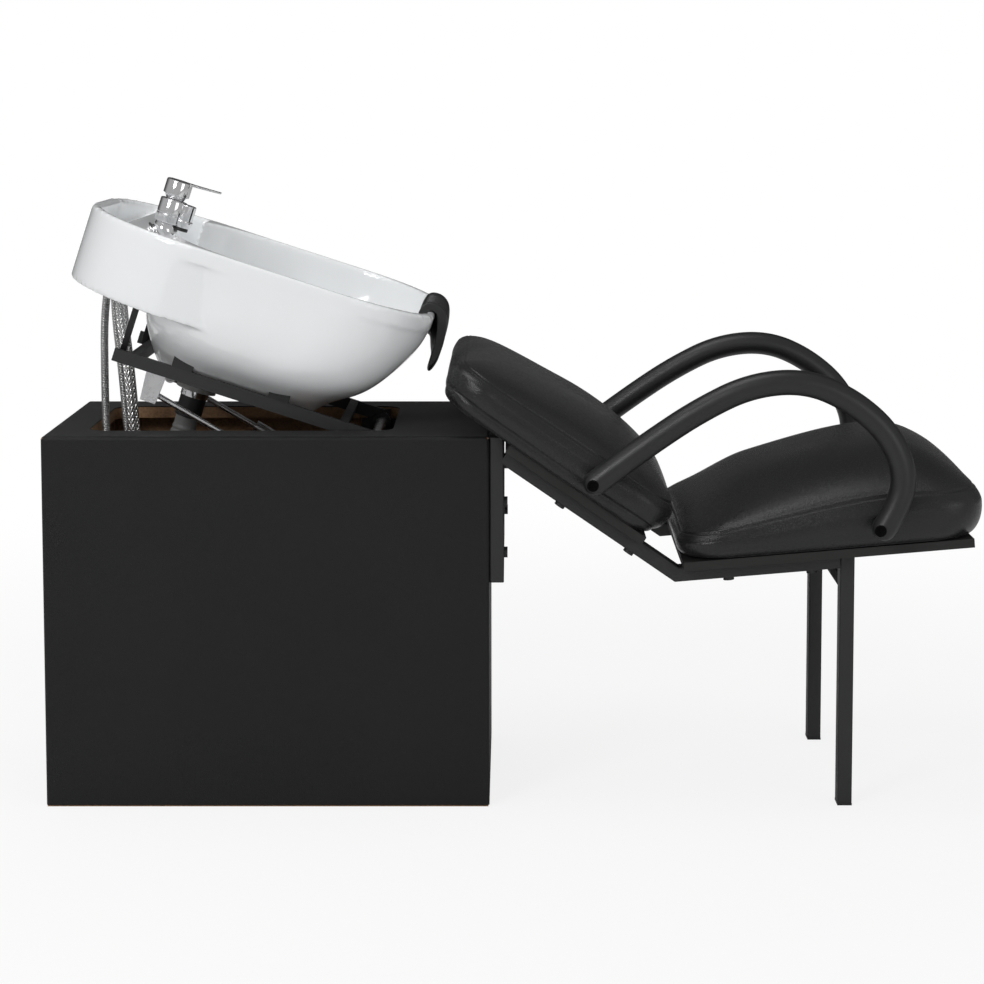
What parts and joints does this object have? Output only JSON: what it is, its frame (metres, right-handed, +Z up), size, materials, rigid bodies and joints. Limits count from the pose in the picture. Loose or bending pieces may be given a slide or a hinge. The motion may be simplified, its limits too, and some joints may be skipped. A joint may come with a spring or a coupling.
{
  "type": "shampoo chair",
  "caption": "Salon shampoo chair: cabinet with a tilting ceramic basin and lever tap, joined to a reclined upholstered seat with bent arms on a tube frame.",
  "frame": {"origin": "on the floor under the middle of the object's box", "axes": "+X to the front of the seat, +Y to the far side, +Z up"},
  "size_m": [1.2878, 0.5606, 0.8635],
  "materials": {
    "black_vinyl": "satin leatherette",
    "cushion_vinyl": "satin leatherette over foam",
    "raw_wood": "bare board",
    "black_metal": "satin powder coat",
    "bare_steel": "zinc plated",
    "white_ceramic": "gloss glaze",
    "black_rubber": "matt",
    "polished_chrome": "mirror polish",
    "black_plastic": "fine grain",
    "arm_foam": "self-skinned foam",
    "grey_plastic": "moulded",
    "hose_braid": "metal braid over rubber"
  },
  "bodies": {
    "cabinet": {"cabinet_cover": "black_vinyl", "seat_cushion": "cushion_vinyl", "back_pad": "cushion_vinyl", "back_cushion": "cushion_vinyl", "cabinet_side_near": "raw_wood", "cabinet_side_far": "raw_wood", "cabinet_front_panel": "raw_wood", "cabinet_rear_panel": "raw_wood", "cabinet_top_board": "raw_wood", "corner_battens": "raw_wood", "seat_board": "raw_wood", "back_board": "raw_wood", "hinge_brackets": "black_metal", "strut_rail": "black_metal", "frame_post_near": "black_metal", "frame_post_far": "black_metal", "back_rail_near": "black_metal", "back_rail_far": "black_metal", "seat_rail_near": "black_metal", "seat_rail_far": "black_metal", "front_leg_near": "black_metal", "front_leg_far": "black_metal", "front_cross_tube": "black_metal", "rear_cross_tube": "black_metal", "frame_bolts": "black_metal", "arm_bolts": "black_metal", "hinge_rod": "bare_steel", "bracket_screws": "bare_steel", "strut_low_pins": "bare_steel", "hose_nuts": "polished_chrome", "leg_feet": "black_plastic", "arm_near": "arm_foam", "arm_far": "arm_foam"},
    "basin_unit": {"basin": "white_ceramic", "neck_rest": "black_rubber", "tilt_bar_near": "black_metal", "tilt_bar_far": "black_metal", "tilt_cross_bars": "black_metal", "basin_pads": "black_rubber", "basin_uprights": "black_metal", "strut_clevises": "black_metal", "tap_base": "polished_chrome", "tap_body": "polished_chrome", "tap_nut": "polished_chrome", "drain_flange": "polished_chrome", "drain_nut": "grey_plastic", "drain_tail": "grey_plastic", "shower_hose": "hose_braid", "hot_hose": "hose_braid", "cold_hose": "hose_braid", "drain_hose": "grey_plastic"},
    "strut_cylinder_near": {"strut_cylinder_near": "bare_steel"},
    "strut_cylinder_far": {"strut_cylinder_far": "bare_steel"},
    "strut_rod_near": {"strut_rod_near": "bare_steel"},
    "strut_rod_far": {"strut_rod_far": "bare_steel"},
    "tap_stem": {"tap_stem": "polished_chrome"},
    "tap_lever": {"tap_lever": "polished_chrome"},
    "spray": {"spray_head": "polished_chrome", "spray_ring": "black_plastic"}
  },
  "joints": [
    {"name": "basin_tilt", "type": "hinge", "parent": "cabinet", "child": "basin_unit", "pos_m": [-0.1935, 0, 0.4953], "axis": [0, 1, 0], "range_deg": [-18, 0], "deforming": ["shower_hose", "hot_hose", "cold_hose", "drain_hose"]},
    {"name": "strut_turn_near", "type": "hinge", "parent": "cabinet", "child": "strut_cylinder_near", "pos_m": [-0.2456, -0.096, 0.412], "axis": [0, 1, 0], "range_deg": [-20, 1]},
    {"name": "strut_slide_near", "type": "slide", "parent": "strut_cylinder_near", "child": "strut_rod_near", "axis": [-0.8611, 0, 0.5085], "range_m": [-0.031, 0.002]},
    {"name": "strut_turn_far", "type": "hinge", "parent": "cabinet", "child": "strut_cylinder_far", "pos_m": [-0.2456, 0.096, 0.412], "axis": [0, 1, 0], "range_deg": [-20, 1]},
    {"name": "strut_slide_far", "type": "slide", "parent": "strut_cylinder_far", "child": "strut_rod_far", "axis": [-0.8611, 0, 0.5085], "range_m": [-0.031, 0.002]},
    {"name": "tap_turn", "type": "hinge", "parent": "basin_unit", "child": "tap_stem", "pos_m": [-0.479, 0, 0.84147], "axis": [0.309, 0, 0.9511], "range_deg": [-45, 45]},
    {"name": "tap_lift", "type": "hinge", "parent": "tap_stem", "child": "tap_lever", "pos_m": [-0.479, 0, 0.84147], "axis": [0, -1, 0], "range_deg": [0, 20]},
    {"name": "spray_pull", "type": "slide", "parent": "basin_unit", "child": "spray", "axis": [-0.309, 0, -0.9511], "range_m": [0, 0.026]}
  ],
  "couplings": [
    {"joint": "strut_turn_near", "follows": "basin_tilt", "ratio": 1.0658},
    {"joint": "strut_slide_near", "follows": "basin_tilt", "m_per_rad": 0.09604},
    {"joint": "strut_turn_far", "follows": "basin_tilt", "ratio": 1.0658},
    {"joint": "strut_slide_far", "follows": "basin_tilt", "m_per_rad": 0.09604}
  ]
}
